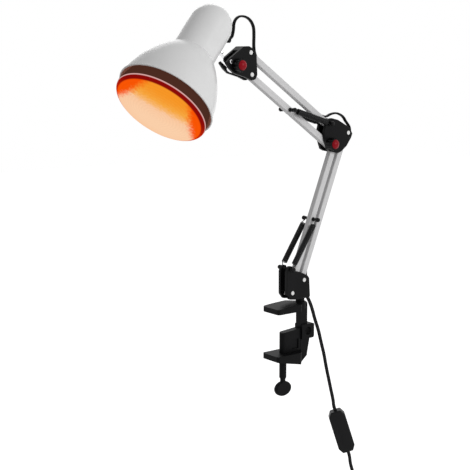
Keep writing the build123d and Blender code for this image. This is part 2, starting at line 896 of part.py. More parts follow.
with BuildPart() as lamp_holder:
    with BuildSketch(lamp_plane):
        with BuildLine():
            Polyline(
                (cap_end - 4.0, 0),
                (cap_end - 4.0, holder_radius - 4.0),
                (cap_end, holder_radius),
                (neck_mouth - 0.1, holder_radius),
                (neck_mouth - 0.1, holder_radius - 1.2),
                (cap_mouth + 4.0, holder_radius - 1.6),
                (cap_mouth, holder_bore),
                (cap_end - 0.3, holder_bore),
                (cap_end - 0.3, 0),
                close=True,
            )
        make_face()
    revolve(axis=lamp_line)
save(lamp_holder.part, "lamp_holder")

with BuildPart() as holder_ring:
    with BuildSketch(lamp_plane):
        with Locations((neck_mouth + bell_wall + 2.1, holder_radius + 2.6)):
            RectangleRounded(4.0, 5.6, 0.8)
    revolve(axis=lamp_line)
save(holder_ring.part, "holder_ring")


def bulb_region(inset):
    """Half section of the bulb's envelope, down to the axis."""
    with BuildLine() as edge:
        face = ThreePointArc(
            (bulb_face - inset, 0),
            (bulb_face - 4.6 - inset, 33.0),
            (bulb_ring + 5.5 - inset / 2, bulb_radius - 4.5 - inset / 2),
        )
        ring = ThreePointArc(
            face @ 1,
            (bulb_ring + 2.6, bulb_radius - 1.0 - inset),
            (bulb_ring - 2.0, bulb_radius - inset),
        )
        side = Spline(
            ring @ 1,
            (bulb_ring - 14.0, bulb_radius - 2.6 - inset),
            (bulb_ring - 40.0, bulb_radius - 13.0 - inset),
            (bulb_ring - 70.0, bulb_radius - 35.0 - inset),
            (bulb_ring - 86.0, 18.0 - inset),
            (cap_mouth + 4.0, 15.5 - inset),
        )
        Polyline(side @ 1, (cap_mouth + 4.0, 0), (bulb_face - inset, 0))
    make_face(edge.edges())


with BuildPart() as bulb:
    with BuildSketch(lamp_plane):
        bulb_region(0)
    revolve(axis=lamp_line)
    with BuildSketch(lamp_plane):
        bulb_region(bulb_glass)
    revolve(axis=lamp_line, mode=Mode.SUBTRACT)
save(bulb.part, "bulb_envelope")

with BuildPart() as bulb_cap:
    with BuildSketch(lamp_plane):
        with BuildLine():
            Polyline(
                (cap_end, 0),
                (cap_end, 5.0),
                (cap_end + 2.5, 10.5),
                (cap_end + 5.0, cap_radius_bulb),
                (cap_mouth + 2.0, cap_radius_bulb),
                (cap_mouth + 4.0, 14.5),
                (cap_mouth + 4.0, 0),
                close=True,
            )
        make_face()
    revolve(axis=lamp_line)
save(bulb_cap.part, "bulb_cap")


# Mains lead ----------------------------------------------------------------------------


def route(points):
    """Straight runs joined by the largest tangent arcs that they leave room for."""
    runs = [after - before for before, after in zip(points, points[1:])]
    radii = []
    for before, after in zip(runs, runs[1:]):
        turn = radians(before.get_angle(after))
        radii.append(0.45 * min(before.length, after.length) / tan(turn / 2))
    return FilletPolyline(*points, radius=radii)


def flat_cord(name, points):
    """Flat lead in the arm's plane, its width along Y."""
    with BuildPart() as part:
        with BuildLine() as path:
            route(points)
        with BuildSketch(beam_plane(points[0], points[1])):
            RectangleRounded(cord_width, cord_thickness, cord_thickness * 0.3)
        sweep(path=path.wire())
    save(part.part, name)


def beside(pivot, direction, along, out):
    """Point beside a tube's slotted face: along the tube from a pivot, and out from its axis."""
    across = direction.cross(Y_AXIS)
    if across.X < 0:
        across = -across
    return pivot + direction * along + across * out


def hanging(along, height):
    """Point in the vertical plane of the free stretch."""
    return Vector(cord_exit.X, cord_exit.Y, height) + heading * along


head_inlet = [
    beside(head_top, -upper_axis, cord_inside, 0),
    beside(head_top, -upper_axis, 25.0, 0),
    beside(head_top, -upper_axis, 12.0, 5.4),
]
elbow_inlet = [
    beside(elbow_top, upper_axis, cord_inside, 0),
    beside(elbow_top, upper_axis, 25.0, 0),
    beside(elbow_top, upper_axis, 13.0, 4.6),
    beside(elbow_top, upper_axis, 4.5, 7.4),
]
elbow_outlet = [
    beside(elbow_rear, -lower_axis, 8.0, 8.0),
    beside(elbow_rear, -lower_axis, 24.0, 0),
    beside(elbow_rear, -lower_axis, cord_inside, 0),
]
base_inlet = [
    beside(base_rear, lower_axis, cord_inside, 0),
    beside(base_rear, lower_axis, 24.0, 0),
    beside(base_rear, lower_axis, 8.0, 8.0),
]
neck_exit = neck_centre + Vector(grommet_reach, 0, 0)
flat_cord(
    "head_cord",
    [
        neck_exit - Vector(5, 0, 0),
        neck_exit + Vector(3.5, 0, 0),
        neck_exit + Vector(7.0, 0, 11.5),
        neck_exit + Vector(7.4, 0, 22.5),
        neck_exit + Vector(14.5, 0, 30.0),
        neck_exit + Vector(25.0, 0, 30.6),
        neck_exit + Vector(34.6, 0, 26.5),
        neck_exit + Vector(41.0, 0, 17.5),
        neck_exit + Vector(41.6, 0, 6.0),
        neck_exit + Vector(41.0, 0, -9.0),
    ]
    + head_inlet[::-1],
)
flat_cord(
    "elbow_cord",
    elbow_inlet
    + [
        elbow_top + Vector(8.8, 0, 12.7),
        elbow_top + Vector(19.8, 0, 14.1),
        elbow_rear + Vector(-8.9, 0, 26.2),
        elbow_rear + Vector(-2.5, 0, 22.4),
        elbow_rear + Vector(1.6, 0, 16.5),
        elbow_rear + Vector(6.4, 0, 11.8),
        elbow_rear + Vector(10.3, 0, 6.6),
        elbow_rear + Vector(10.6, 0, -0.4),
    ]
    + elbow_outlet,
)
base_turn = Vector(7.0, 0, 25.0)
flat_cord("base_cord", base_inlet + [Vector(7.2, 0, 36.0), base_turn, cord_exit])


def inner_cord(name, start, end):
    """Straight stretch of the lead inside a tube."""
    with BuildPart() as part:
        with BuildSketch(beam_plane(start, end)):
            RectangleRounded(cord_width, cord_thickness, cord_thickness * 0.3)
        extrude(amount=(end - start).length)
    save(part.part, name)


inner_cord("upper_cord", elbow_inlet[0], head_inlet[0])
inner_cord("lower_cord", base_inlet[0], elbow_outlet[-1])

with BuildPart() as grommet:
    with BuildSketch(Plane.YZ.offset(neck_exit.X)):
        with Locations((neck_exit.Y, neck_exit.Z)):
            Circle(grommet_radius)
            RectangleRounded(
                cord_width + 0.2, cord_thickness + 0.2, cord_thickness * 0.3, mode=Mode.SUBTRACT
            )
    extrude(amount=-12.0)
    chamfer(grommet.edges().filter_by(GeomType.CIRCLE).sort_by(Axis.X)[-1], 1.0)
save(grommet.part, "cord_grommet")


def round_cord(name, points):
    """Free stretch of the lead, as a plain round tube."""
    with BuildPart() as part:
        with BuildLine() as path:
            route(points)
        with BuildSketch(Plane(origin=points[0], z_dir=points[1] - points[0])):
            Circle(free_cord_radius)
        sweep(path=path.wire())
    save(part.part, name)


# Switch on the lead: its own plane has X up its length, Z out of its face.
switch_down = heading * sin(radians(switch_tilt)) - Vector(0, 0, cos(radians(switch_tilt)))
switch_front = Vector(-sin(radians(cord_heading)), -cos(radians(cord_heading)), 0)
switch_start = hanging(*switch_top)
switch_middle = switch_start + switch_down * (switch_length / 2)
switch_end = switch_start + switch_down * switch_length
exit_run = (cord_exit - base_turn).normalized()
round_cord(
    "cord_to_switch",
    [
        cord_exit,
        cord_exit + exit_run * 8.0,
        hanging(7.6, -5.0),
        hanging(10.5, -16.8),
        hanging(16.5, -34.7),
        hanging(20.4, -52.6),
        hanging(25.0, -70.6),
        hanging(28.1, -88.6),
        hanging(32.0, -106.7),
        hanging(35.9, -124.9),
        hanging(39.4, -140.6),
        switch_start - switch_down * 8.0,
        switch_start,
    ],
)


def switch_plane(depth):
    """Plane parallel to the switch's face, at a depth toward its front."""
    return Plane(
        origin=switch_middle + switch_front * depth,
        x_dir=-switch_down,
        z_dir=switch_front,
    )


def switch_half(depth, amount, rounded):
    """One moulded half of the switch housing, its long outer edges rounded."""
    with BuildPart() as part:
        with BuildSketch(switch_plane(depth)):
            with BuildLine():
                Polyline(
                    (-switch_length / 2, -switch_width * 0.31),
                    (-switch_length * 0.38, -switch_width / 2),
                    (switch_length * 0.38, -switch_width / 2),
                    (switch_length / 2, -switch_width * 0.31),
                    (switch_length / 2, switch_width * 0.31),
                    (switch_length * 0.38, switch_width / 2),
                    (-switch_length * 0.38, switch_width / 2),
                    (-switch_length / 2, switch_width * 0.31),
                    close=True,
                )
            make_face()
            fillet(vertices(), 2.5)
        extrude(amount=amount)
        outer = part.faces().sort_by(Axis(switch_middle, switch_front))
        fillet((outer[-1] if rounded > 0 else outer[0]).edges(), abs(rounded))
    return part.part


save(switch_half(0, switch_thickness / 2, 2.2), "switch_cover")
with BuildPart() as switch_base:
    add(switch_half(-switch_thickness / 2, switch_thickness / 2, -2.2))
    with BuildSketch(switch_plane(-switch_thickness / 2)):
        Rectangle(rocker_length + 2 * free_gap, rocker_width + 2 * free_gap)
    extrude(amount=6.0, mode=Mode.SUBTRACT)
save(switch_base.part, "switch_base")

with BuildPart() as rocker:
    with BuildSketch(
        Plane(
            origin=switch_middle - switch_front * (switch_thickness / 2),
            x_dir=-switch_down,
            z_dir=switch_front.cross(switch_down),
        )
    ):
        with BuildLine():
            Line((-rocker_length / 2 + 0.4, 1.4), (-rocker_length / 2 + 0.4, -3.2))
            ThreePointArc(
                (-rocker_length / 2 + 0.4, -3.2), (0, -5.4), (rocker_length / 2 - 0.4, -3.2)
            )
            Line((rocker_length / 2 - 0.4, -3.2), (rocker_length / 2 - 0.4, 1.4))
            ThreePointArc(
                (rocker_length / 2 - 0.4, 1.4), (0, 0.4), (-rocker_length / 2 + 0.4, 1.4)
            )
        make_face()
    extrude(amount=rocker_width / 2, both=True)
save(rocker.part, "switch_rocker")

# Put-away coil below the switch, its tie, and the plug on its tail.
coil_start = hanging(*coil_top)
coil_middle = coil_start - Vector(0, 0, coil_radius + coil_section - 0.8)
round_cord(
    "cord_below_switch",
    [
        switch_end,
        switch_end + switch_down * 9.0,
        hanging(66.3, -240.0),
        hanging(74.0, -262.0),
        coil_start,
    ],
)
with BuildPart() as cord_coil:
    with Locations(Plane(origin=coil_middle, z_dir=switch_front)):
        Torus(coil_radius, coil_section)
save(cord_coil.part, "cord_coil")

tie_centre = coil_middle - heading * coil_radius
with BuildPart() as coil_tie:
    with BuildSketch(Plane(origin=tie_centre - Vector(0, 0, coil_tie_width / 2), z_dir=(0, 0, 1))):
        Circle(coil_section + 1.5)
        Circle(coil_section + free_gap, mode=Mode.SUBTRACT)
    extrude(amount=coil_tie_width)
save(coil_tie.part, "coil_tie")

tail_top = coil_middle - Vector(0, 0, coil_radius + coil_section - 0.8)
plug_top = tail_top + heading * 4.0 - Vector(0, 0, 44.0)
round_cord(
    "cord_to_plug",
    [
        tail_top,
        tail_top + heading * 3.0 - Vector(0, 0, 14.0),
        plug_top + Vector(0, 0, 14.0),
        plug_top,
    ],
)
with BuildPart() as plug_body:
    with BuildSketch(Plane(origin=plug_top, x_dir=heading, z_dir=switch_front)):
        with BuildLine():
            Polyline(
                (-plug_neck_width / 2, 0),
                (plug_neck_width / 2, 0),
                (plug_width / 2, -plug_length * 0.45),
                (plug_width / 2, -plug_length),
                (-plug_width / 2, -plug_length),
                (-plug_width / 2, -plug_length * 0.45),
                close=True,
            )
        make_face()
        fillet(vertices(), 1.5)
    extrude(amount=plug_thickness / 2, both=True)
    chamfer(plug_body.edges().group_by(Axis.Z)[-1], 0.8)
save(plug_body.part, "plug_body")

with BuildPart() as plug_pins:
    with BuildSketch(Plane.XY.offset(plug_top.Z - plug_length)):
        for side in (-1, 1):
            spot = plug_top + heading * (side * plug_pin_spacing / 2)
            with Locations((spot.X, spot.Y)):
                Circle(plug_pin_radius)
    extrude(amount=-plug_pin_length)
    fillet(plug_pins.edges().group_by(Axis.Z)[0], plug_pin_radius * 0.7)
save(plug_pins.part, "plug_pins")
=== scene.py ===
import math

import bpy
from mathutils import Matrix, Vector


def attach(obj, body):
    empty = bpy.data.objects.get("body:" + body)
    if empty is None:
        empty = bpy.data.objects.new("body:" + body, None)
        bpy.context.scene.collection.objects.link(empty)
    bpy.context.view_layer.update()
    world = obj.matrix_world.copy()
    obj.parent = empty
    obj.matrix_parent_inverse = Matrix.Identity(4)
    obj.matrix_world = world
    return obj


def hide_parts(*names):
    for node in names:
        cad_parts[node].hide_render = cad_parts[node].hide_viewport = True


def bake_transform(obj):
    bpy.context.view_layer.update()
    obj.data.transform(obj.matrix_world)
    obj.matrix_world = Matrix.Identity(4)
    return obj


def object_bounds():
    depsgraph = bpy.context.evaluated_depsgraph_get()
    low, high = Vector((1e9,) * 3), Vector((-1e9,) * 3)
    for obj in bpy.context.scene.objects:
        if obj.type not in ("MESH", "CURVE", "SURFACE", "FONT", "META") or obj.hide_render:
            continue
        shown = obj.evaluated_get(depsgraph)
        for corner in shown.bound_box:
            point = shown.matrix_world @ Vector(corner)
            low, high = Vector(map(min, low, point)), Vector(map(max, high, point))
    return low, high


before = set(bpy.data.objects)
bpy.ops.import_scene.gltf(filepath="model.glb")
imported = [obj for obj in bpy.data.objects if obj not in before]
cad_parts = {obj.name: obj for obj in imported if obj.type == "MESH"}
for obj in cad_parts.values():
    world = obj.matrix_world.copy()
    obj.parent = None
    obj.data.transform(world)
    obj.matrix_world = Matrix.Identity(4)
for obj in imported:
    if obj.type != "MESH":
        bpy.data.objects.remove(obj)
cad_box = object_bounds()
MM = 0.001
UP = Vector((0, 0, 1))
Y_AXIS = Vector((0, 1, 0))


def mm(x, y, z):
    """A point given in millimetres, in metres."""
    return Vector((x, y, z)) * MM


# Camera ---------------------------------------------------------------------------------

eye = mm(-1025.5, -1170.5, 357.3)
target = mm(-118.37, 0, 118.09)
camera = bpy.data.objects.new("camera", bpy.data.cameras.new("camera"))
camera.data.sensor_width = 36
camera.data.lens = 84.69
camera.data.clip_start = 0.01
camera.data.clip_end = 30
camera.location = eye
camera.rotation_euler = (target - eye).to_track_quat("-Z", "Y").to_euler()
bpy.context.scene.collection.objects.link(camera)
bpy.context.scene.camera = camera

# Joints' places, in the arm's plane -----------------------------------------------------

LOWER_LEAN, LOWER_LENGTH = math.radians(21.64), 221.7
UPPER_RISE, UPPER_LENGTH = math.radians(34.77), 173.6
LOWER_PIN_ALONG, UPPER_PIN_ALONG = 109.8, 88.2  # along the tubes that carry the spring pins
lower_axis = Vector((math.sin(LOWER_LEAN), 0, math.cos(LOWER_LEAN)))
upper_axis = Vector((-math.cos(UPPER_RISE), 0, math.sin(UPPER_RISE)))
base_front = mm(-21.6, 0, 25.9)
base_rear = mm(0, 0, 42.6)
base_stud = mm(-26, 0, 61)
elbow_front = base_front + lower_axis * LOWER_LENGTH * MM
elbow_rear = base_rear + lower_axis * LOWER_LENGTH * MM
elbow_bottom = elbow_front + mm(-13.6, 0, 2.3)
elbow_top = elbow_front + mm(-15.6, 0, 31.4)
head_bottom = elbow_bottom + upper_axis * UPPER_LENGTH * MM
head_top = elbow_top + upper_axis * UPPER_LENGTH * MM
lower_pin = base_front + lower_axis * LOWER_PIN_ALONG * MM
upper_pin = elbow_bottom + upper_axis * UPPER_PIN_ALONG * MM
head_bolt = head_bottom + mm(-24.954, 0, 12.524)
neck_centre = head_bolt + mm(-50.5, 0, 33.6)
PITCH, TURN = math.radians(47.5), math.radians(8.9)
lamp_axis = Vector((
    -math.cos(PITCH) * math.cos(TURN), -math.sin(TURN), -math.sin(PITCH) * math.cos(TURN)))
HEADING = math.radians(37.77)
heading = Vector((math.cos(HEADING), -math.sin(HEADING), 0))
facing = Vector((-math.sin(HEADING), -math.cos(HEADING), 0))
cord_exit = mm(14, 0, 14)
SWITCH_TILT = math.radians(17.7)
switch_down = heading * math.sin(SWITCH_TILT) - UP * math.cos(SWITCH_TILT)
SWITCH_LENGTH = 64.5


def hanging(along, height):
    """Point in the vertical plane of the free lead."""
    return Vector((cord_exit.x, cord_exit.y, height * MM)) + heading * along * MM


def beside(pivot, direction, along, out):
    """Point beside a tube's slotted face: along the tube from a pivot, out from its axis."""
    across = direction.cross(Y_AXIS)
    if across.x < 0:
        across = -across
    return pivot + (direction * along + across * out) * MM


# Free lead ------------------------------------------------------------------------------

base_turn = mm(7.0, 0, 25.0)
exit_run = (cord_exit - base_turn).normalized()
switch_start = hanging(42.4, -155.7)
switch_end = switch_start + switch_down * SWITCH_LENGTH * MM
coil_start = hanging(77.3, -282.0)
COIL_RADIUS, COIL_SECTION = 30.0, 6.6
COIL_REACH = COIL_RADIUS + COIL_SECTION - 0.8  # from the coil's middle to the lead's ends on it
COIL_STEPS = 12  # points in one turn
COIL_TURNS = 7.5
CORNER_PULL = 1.026  # the curve runs this much inside its control points
coil_middle = coil_start - UP * COIL_REACH * MM
tail_top = coil_middle - UP * COIL_REACH * MM
plug_top = tail_top + heading * 4.0 * MM - UP * 44.0 * MM
CORD_WIDTH, CORD_THICKNESS = 5.5, 2.8


def coil_points():
    """Turns of the put-away lead: inward on one side of the bundle, outward on the other."""
    places = [(3.6, -2.0), (1.2, -2.1), (-1.2, -2.1), (-3.6, -2.0),
              (-3.6, 2.0), (-1.2, 2.1), (1.2, 2.1), (3.6, 2.0)]
    points = []
    for k in range(6, int(COIL_TURNS * COIL_STEPS) - 5):
        turn = k / COIL_STEPS
        low = min(int(turn), len(places) - 2)
        share = turn - low
        share = share * share * (3 - 2 * share)
        out = places[low][0] * (1 - share) + places[low + 1][0] * share
        side = places[low][1] * (1 - share) + places[low + 1][1] * share
        angle = math.pi / 2 - 2 * math.pi * turn
        radius = (COIL_RADIUS + out) * CORNER_PULL
        points.append(
            coil_middle + (heading * math.cos(angle) + UP * math.sin(angle)) * radius * MM
            + facing * side * MM)
    return points


def nurbs(name, points, width, thickness):
    """Flat lead as one NURBS curve with the route's points as its control points."""
    curve = bpy.data.curves.new(name, "CURVE")
    curve.dimensions = "3D"
    spline = curve.splines.new("NURBS")
    spline.points.add(len(points) - 1)
    for place, point in zip(spline.points, points):
        place.co = (*point, 1)
    spline.order_u = 3
    spline.use_endpoint_u = True
    spline.resolution_u = 8
    curve.resolution_u = 8
    curve.bevel_depth = thickness / 2 * MM
    curve.extrude = (width - thickness) / 2 * MM
    curve.bevel_resolution = 3
    curve.use_fill_caps = True
    ob = bpy.data.objects.new(name, curve)
    bpy.context.scene.collection.objects.link(ob)
    return ob


free_points = [
    cord_exit,
    cord_exit + exit_run * 8.0 * MM,
    hanging(7.6, -5.0),
    hanging(10.5, -16.8),
    hanging(16.5, -34.7),
    hanging(20.4, -52.6),
    hanging(25.0, -70.6),
    hanging(28.1, -88.6),
    hanging(32.0, -106.7),
    hanging(35.9, -124.9),
    hanging(39.4, -140.6),
    switch_start - switch_down * 8.0 * MM,
    switch_start,
    switch_start + switch_down * 24.0 * MM,
    switch_end - switch_down * 16.0 * MM,
    switch_end,
    switch_end + switch_down * 9.0 * MM,
    hanging(66.3, -240.0),
    hanging(74.0, -262.0),
    coil_start - heading * 1.0 * MM + UP * 4.0 * MM,
] + coil_points() + [
    tail_top + heading * 3.0 * MM - UP * 14.0 * MM,
    plug_top + UP * 14.0 * MM,
    plug_top,
]


# Materials ------------------------------------------------------------------------------


def new_material(name):
    """Empty node material with a Principled shader. Returns material, nodes, links, shader."""
    material = bpy.data.materials.new(name)
    material.use_nodes = True
    nodes, links = material.node_tree.nodes, material.node_tree.links
    shader = nodes["Principled BSDF"]
    return material, nodes, links, shader


def noise(nodes, links, scale, detail=3.0, rough=0.5):
    """Noise in object coordinates, scale in features per metre."""
    place = nodes.new("ShaderNodeTexCoord")
    texture = nodes.new("ShaderNodeTexNoise")
    texture.inputs["Scale"].default_value = scale
    texture.inputs["Detail"].default_value = detail
    texture.inputs["Roughness"].default_value = rough
    links.new(place.outputs["Object"], texture.inputs["Vector"])
    return texture.outputs["Fac"]


def ramp(nodes, links, source, stops):
    """Colour ramp of (position, colour) stops."""
    node = nodes.new("ShaderNodeValToRGB")
    while len(node.color_ramp.elements) < len(stops):
        node.color_ramp.elements.new(0.5)
    for element, (position, colour) in zip(node.color_ramp.elements, stops):
        element.position = position
        element.color = (*colour, 1)
    links.new(source, node.inputs["Fac"])
    return node.outputs["Color"]


def grey(value):
    """Colour with the same value in all three channels."""
    return (value, value, value)


def bump(nodes, links, shader, source, strength, distance):
    """Fine relief from a height source."""
    node = nodes.new("ShaderNodeBump")
    node.inputs["Strength"].default_value = strength
    node.inputs["Distance"].default_value = distance
    links.new(source, node.inputs["Height"])
    links.new(node.outputs["Normal"], shader.inputs["Normal"])


def surface(name, low, high, rough, spread, grain, relief, metallic=0.0, coat=0.0, gloss=0.5,
            depth=2e-5):
    """Plain surface with slight variation of colour and roughness and a fine grain."""
    material, nodes, links, shader = new_material(name)
    broad = noise(nodes, links, 35.0)
    fine = noise(nodes, links, grain, 4.0, 0.6)
    colour = ramp(nodes, links, broad, [(0.3, low), (0.7, high)])
    links.new(colour, shader.inputs["Base Color"])
    shine = ramp(nodes, links, fine, [(0.25, grey(rough - spread)), (0.75, grey(rough + spread))])
    links.new(shine, shader.inputs["Roughness"])
    shader.inputs["Metallic"].default_value = metallic
    shader.inputs["Coat Weight"].default_value = coat
    shader.inputs["Coat Roughness"].default_value = 0.08
    shader.inputs["Specular IOR Level"].default_value = gloss
    bump(nodes, links, shader, fine, relief, depth)
    return material


tube_paint = surface(
    "tube_paint", (0.66, 0.655, 0.66), (0.69, 0.685, 0.69), 0.42, 0.04, 1200.0, 0.10, gloss=0.10)
black_moulded = surface(
    "clamp_moulding", (0.0025, 0.0025, 0.0028), (0.0045, 0.0045, 0.005), 0.50, 0.07, 2600.0, 0.35,
    gloss=0.07)
bracket_moulded = surface(
    "bracket_moulding", (0.003, 0.003, 0.0033), (0.005, 0.005, 0.0055), 0.40, 0.06, 2200.0, 0.22,
    gloss=0.08)
knob_moulded = surface(
    "knob_moulding", (0.003, 0.003, 0.0033), (0.005, 0.005, 0.0055), 0.42, 0.06, 2400.0, 0.25,
    gloss=0.09)
switch_moulded = surface(
    "switch_moulding", (0.004, 0.004, 0.0044), (0.006, 0.006, 0.0065), 0.42, 0.05, 2600.0, 0.25,
    gloss=0.12)
cord_sheath = surface(
    "cord_sheath", (0.003, 0.003, 0.0033), (0.005, 0.005, 0.0055), 0.46, 0.06, 1800.0, 0.15,
    gloss=0.09)
red_moulded = surface(
    "cap_moulding", (0.24, 0.002, 0.008), (0.36, 0.004, 0.014), 0.30, 0.04, 2000.0, 0.15,
    gloss=0.1)
rivet_white = surface(
    "rivet_finish", (0.80, 0.80, 0.79), (0.86, 0.86, 0.85), 0.33, 0.05, 1500.0, 0.15)
chrome = surface(
    "chrome_plate", (0.78, 0.78, 0.79), (0.84, 0.84, 0.85), 0.10, 0.03, 900.0, 0.05, metallic=1.0)
plated = surface(
    "zinc_plate", (0.50, 0.50, 0.49), (0.62, 0.62, 0.61), 0.28, 0.07, 1600.0, 0.15, metallic=1.0)
spring_dark = surface(
    "spring_wire_dark", (0.004, 0.004, 0.0043), (0.009, 0.009, 0.0095), 0.30, 0.08, 1600.0, 0.2,
    gloss=0.2)
pin_dark = surface(
    "pin_black", (0.003, 0.003, 0.0033), (0.006, 0.006, 0.0065), 0.30, 0.05, 1600.0, 0.1,
    gloss=0.12)
holder_ceramic = surface(
    "holder_ceramic", (0.68, 0.66, 0.61), (0.74, 0.72, 0.68), 0.30, 0.05, 900.0, 0.1)


def vector_math(nodes, links, operation, first, second=None):
    """Vector math node on sockets or vectors. Returns the node."""
    node = nodes.new("ShaderNodeVectorMath")
    node.operation = operation
    for index, value in enumerate((first, second)):
        if value is None:
            continue
        if isinstance(value, (tuple, Vector)):
            node.inputs[index].default_value = value
        else:
            links.new(value, node.inputs[index])
    return node


def dot(nodes, links, source, axis):
    """Dot product of a vector socket with an axis or with another vector socket."""
    return vector_math(nodes, links, "DOT_PRODUCT", source, axis).outputs["Value"]


def axial(nodes, links):
    """Vector from the neck's centre, and its part along the lamp's axis, in metres."""
    place = nodes.new("ShaderNodeTexCoord").outputs["Object"]
    shift = vector_math(nodes, links, "SUBTRACT", place, neck_centre).outputs["Vector"]
    return shift, dot(nodes, links, shift, lamp_axis)


def arithmetic(nodes, links, operation, first, second=None):
    """Math node on sockets or numbers."""
    node = nodes.new("ShaderNodeMath")
    node.operation = operation
    for index, value in enumerate((first, second)):
        if value is None:
            continue
        if isinstance(value, (int, float)):
            node.inputs[index].default_value = value
        else:
            links.new(value, node.inputs[index])
    return node.outputs["Value"]


# Axes of the bulb's face: across it, and down it on the side that faces GLOW_SIDE.
GLOW_SIDE = Vector((-0.6125, -0.790, 0.0))
face_right = lamp_axis.cross(GLOW_SIDE).normalized()
face_down = lamp_axis.cross(face_right).normalized()


def span(nodes, links, source, low, high):
    """0 at low, 1 at high, clamped and smooth."""
    node = nodes.new("ShaderNodeMapRange")
    node.interpolation_type = "SMOOTHSTEP"
    node.inputs["From Min"].default_value = low
    node.inputs["From Max"].default_value = high
    links.new(source, node.inputs["Value"])
    return node.outputs["Result"]


def mix(nodes, links, share, first, second):
    """Blend of two colours, each a socket or a tuple."""
    node = nodes.new("ShaderNodeMix")
    node.data_type = "RGBA"
    links.new(share, node.inputs["Factor"])
    for index, value in ((6, first), (7, second)):
        if isinstance(value, tuple):
            node.inputs[index].default_value = (*value, 1)
        else:
            links.new(value, node.inputs[index])
    return node.outputs[2]


PAINTED_GLOW_BROWN = (0.068, 0.024, 0.015)  # painted glow, not a lamp's light: the bulb's light bounced on its silvered back and inside the shade, behind the ring
SHADE_DEEP = 0.045  # metres along the axis: the bell's inside gets the painted brown glow past this


def shade_paint():
    """Glossy white outside; inside, where the face turns to the axis, a painted brown glow that
    stands in for the bulb's light bounced there.
    """
    material = surface(
        "shade_paint", (0.80, 0.80, 0.80), (0.83, 0.83, 0.83), 0.26, 0.03, 900.0, 0.08, coat=0.06,
        gloss=0.2)
    nodes, links = material.node_tree.nodes, material.node_tree.links
    shader = nodes["Principled BSDF"]
    place, along = axial(nodes, links)
    around = vector_math(nodes, links, "CROSS_PRODUCT", place, lamp_axis).outputs["Vector"]
    outward = vector_math(nodes, links, "CROSS_PRODUCT", lamp_axis, around).outputs["Vector"]
    normal = nodes.new("ShaderNodeNewGeometry").outputs["Normal"]
    facing_out = dot(nodes, links, normal, outward)
    inside = arithmetic(nodes, links, "LESS_THAN", facing_out, -0.005)
    deep = arithmetic(nodes, links, "GREATER_THAN", along, SHADE_DEEP)
    # Painted glow: the bell's inside emits brown, standing in for the bulb's light bounced in the
    # shade.
    shader.inputs["Emission Color"].default_value = (*PAINTED_GLOW_BROWN, 1)
    links.new(
        arithmetic(nodes, links, "MULTIPLY", inside, deep), shader.inputs["Emission Strength"])
    return material


# The bulb's face, in metres across it (x), down it (y) and along the lamp's axis.
HOT_SQUEEZE = (0.52, 1.0, 1.0)  # makes the hot area wide: x counts for about half
HOT_CENTRE = (-0.003, 0.020, 0.0)
HOT_SPAN = (0.019, 0.079)
END_SPAN = (0.050, 0.062)  # where the red ends start and are full
END_SLOPE = 0.35  # the ends give way toward the bottom
RIM_SPAN = (0.0574, 0.0592)
LOW_SPAN = (-0.030, 0.020)  # where the dark rim brightens
# Where a painted highlight runs as a pale line along the ring's edge.
HIGHLIGHT_LINE_SPAN = (0.1183, 0.1177)
BACK_SPAN = (0.1168, 0.1162)
WANDER = 0.018  # how far the borders wander
RING_PITCH, RING_DEPTH = 1500.0, 0.018


